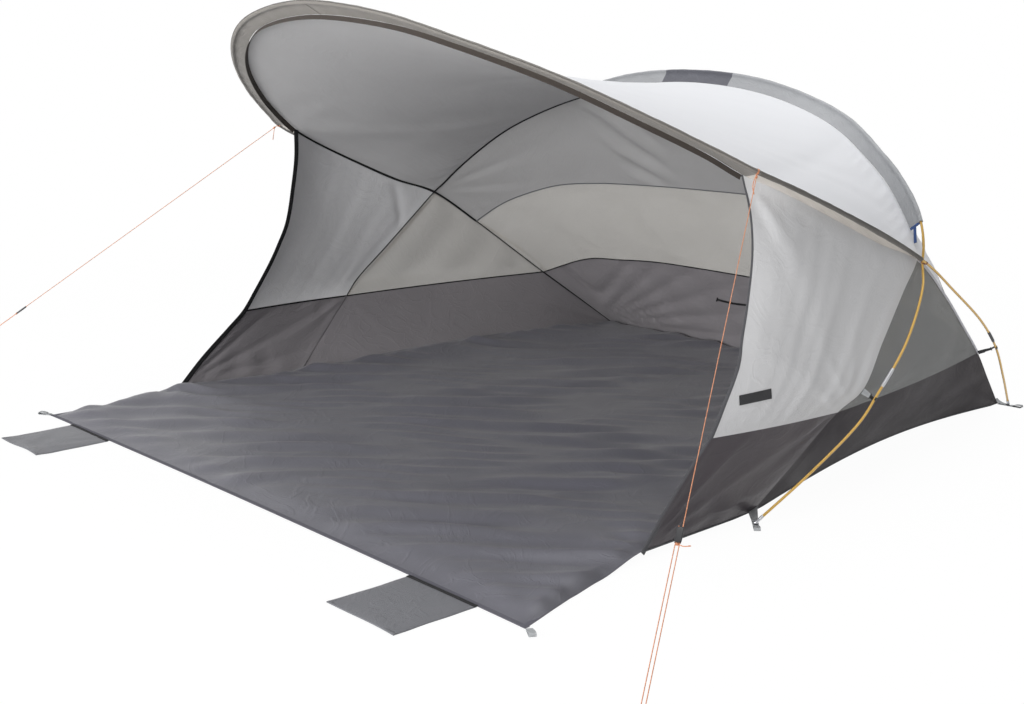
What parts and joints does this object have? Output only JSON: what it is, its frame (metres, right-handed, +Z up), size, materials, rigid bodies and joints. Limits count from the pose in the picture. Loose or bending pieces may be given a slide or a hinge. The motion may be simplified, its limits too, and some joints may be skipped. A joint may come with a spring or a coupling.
{
  "type": "beach tent",
  "caption": "Open-front beach tent on two crossed bending poles, with a projecting visor roof, mesh rear, dark lower walls, groundsheet, fold-up apron, sand pockets and guy lines.",
  "frame": {"origin": "on the ground, under the middle of the tent's footprint, with the apron, pockets and webbing loops laid out and the guy lines left out", "axes": "+Z up; -Y out of the open front; +X to the tent's right, seen from behind"},
  "size_m": [4.1199, 3.1892, 1.5622],
  "materials": {
    "roof_cloth": "white coated tent fabric",
    "wall_cloth": "light grey coated tent fabric",
    "mesh_cloth": "grey beige insect mesh",
    "band_cloth": "dark grey coated fabric",
    "floor_sheet": "dark grey coated groundsheet",
    "apron_sheet": "grey coated groundsheet",
    "pocket_cloth": "mid grey coated fabric",
    "front_sleeve": "beige grey pole sleeve",
    "rear_sleeve": "light grey pole sleeve",
    "binding": "black binding tape",
    "pole": "gold glass fibre tube",
    "shock_cord": "black elastic cord",
    "tip_metal": "turned end tip",
    "webbing": "grey webbing",
    "clip_plastic": "black moulded hook",
    "sleeve_strap": "dark blue tape",
    "guy_cord": "salmon orange cord",
    "slider_plastic": "dark slider"
  },
  "bodies": {
    "tent": {"anchor_front_left": "webbing", "anchor_front_right": "webbing", "anchor_rear_left": "webbing", "anchor_rear_right": "webbing", "band_back": "band_cloth", "band_front_left": "band_cloth", "band_front_right": "band_cloth", "band_side_left": "band_cloth", "band_side_right": "band_cloth", "clip_front_left": "clip_plastic", "clip_front_right": "clip_plastic", "clip_rear_left": "clip_plastic", "clip_rear_right": "clip_plastic", "edge_binding_left": "binding", "edge_binding_right": "binding", "floor": "floor_sheet", "front_pole_1": "pole", "front_pole_10": "pole", "front_pole_2": "pole", "front_pole_3": "pole", "front_pole_4": "pole", "front_pole_5": "pole", "front_pole_6": "pole", "front_pole_7": "pole", "front_pole_8": "pole", "front_pole_9": "pole", "front_shock_cord": "shock_cord", "guy_line_left": "guy_cord", "guy_line_right": "guy_cord", "rear_mesh": "mesh_cloth", "rear_pole_1": "pole", "rear_pole_2": "pole", "rear_pole_3": "pole", "rear_pole_4": "pole", "rear_pole_5": "pole", "rear_pole_6": "pole", "rear_pole_7": "pole", "rear_shock_cord": "shock_cord", "rear_upper": "roof_cloth", "roof": "roof_cloth", "side_front_left": "wall_cloth", "side_front_right": "wall_cloth", "side_rear_left": "mesh_cloth", "side_rear_right": "mesh_cloth", "sleeve_front": "front_sleeve", "sleeve_rear": "rear_sleeve", "sleeve_strap_left": "sleeve_strap", "sleeve_strap_right": "sleeve_strap", "tip_front_left": "tip_metal", "tip_front_right": "tip_metal", "tip_rear_left": "tip_metal", "tip_rear_right": "tip_metal"},
    "apron": {"apron": "apron_sheet"},
    "loop_left": {"corner_loop_left": "webbing"},
    "loop_right": {"corner_loop_right": "webbing"},
    "slider_left": {"guy_slider_left": "slider_plastic"},
    "slider_right": {"guy_slider_right": "slider_plastic"},
    "pocket_left": {"sand_pocket_left": "pocket_cloth"},
    "pocket_right": {"sand_pocket_right": "pocket_cloth"}
  },
  "joints": [
    {"name": "apron_fold", "type": "hinge", "parent": "tent", "child": "apron", "pos_m": [0, -0.74356, 0.0006], "axis": [-1, 0, 0], "range_deg": [0, 85]},
    {"name": "pocket_fold_left", "type": "hinge", "parent": "apron", "child": "pocket_left", "pos_m": [-1.00279, -1.31856, 0.006], "axis": [-1, 0, 0], "range_deg": [0, 160]},
    {"name": "loop_fold_left", "type": "hinge", "parent": "apron", "child": "loop_left", "pos_m": [-1.34118, -1.31002, 0.0008], "axis": [-0.5408, 0.8412, 0], "range_deg": [0, 80]},
    {"name": "slider_slide_left", "type": "slide", "parent": "tent", "child": "slider_left", "axis": [-0.4217, -0.707, -0.5678], "range_m": [0, 0.3]},
    {"name": "pocket_fold_right", "type": "hinge", "parent": "apron", "child": "pocket_right", "pos_m": [1.05721, -1.31856, 0.006], "axis": [-1, 0, 0], "range_deg": [0, 160]},
    {"name": "loop_fold_right", "type": "hinge", "parent": "apron", "child": "loop_right", "pos_m": [1.39559, -1.31002, 0.0008], "axis": [-0.5408, -0.8412, 0], "range_deg": [0, 80]},
    {"name": "slider_slide_right", "type": "slide", "parent": "tent", "child": "slider_right", "axis": [0.4217, -0.707, -0.5678], "range_m": [0, 0.3]}
  ]
}
